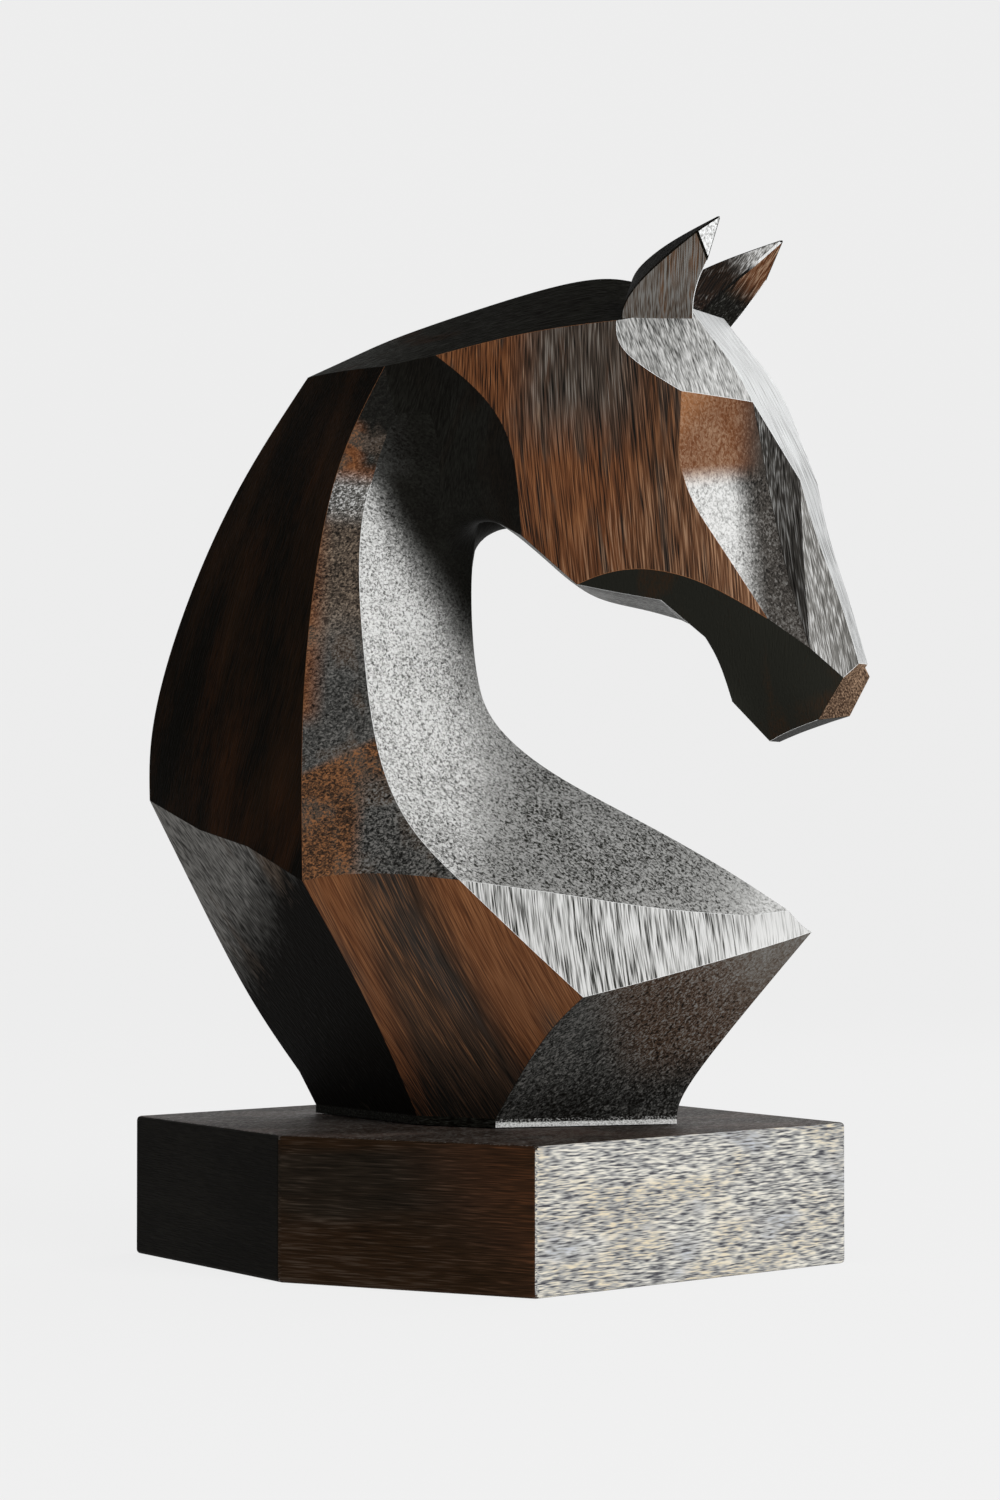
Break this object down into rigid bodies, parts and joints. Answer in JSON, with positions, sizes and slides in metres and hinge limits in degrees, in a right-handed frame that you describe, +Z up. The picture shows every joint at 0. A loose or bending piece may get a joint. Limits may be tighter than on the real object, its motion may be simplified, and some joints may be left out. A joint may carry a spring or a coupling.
{
  "type": "horse bust sculpture",
  "caption": "Faceted carved wooden horse-head bust with an arched neck, standing by its own weight on a low polygonal wooden plinth.",
  "frame": {"origin": "on the surface it stands on, below the middle of the whole outline", "axes": "+X the way the horse faces, +Y its left side, +Z up"},
  "size_m": [0.2348, 0.185, 0.3],
  "materials": {
    "figure_wood": "dark oiled open-grain wood with silvery limed facets",
    "plinth_wood": "dark oiled open-grain wood with a pale limed front face"
  },
  "bodies": {
    "root": {"horse_bust": "figure_wood", "plinth": "plinth_wood"}
  },
  "joints": []
}
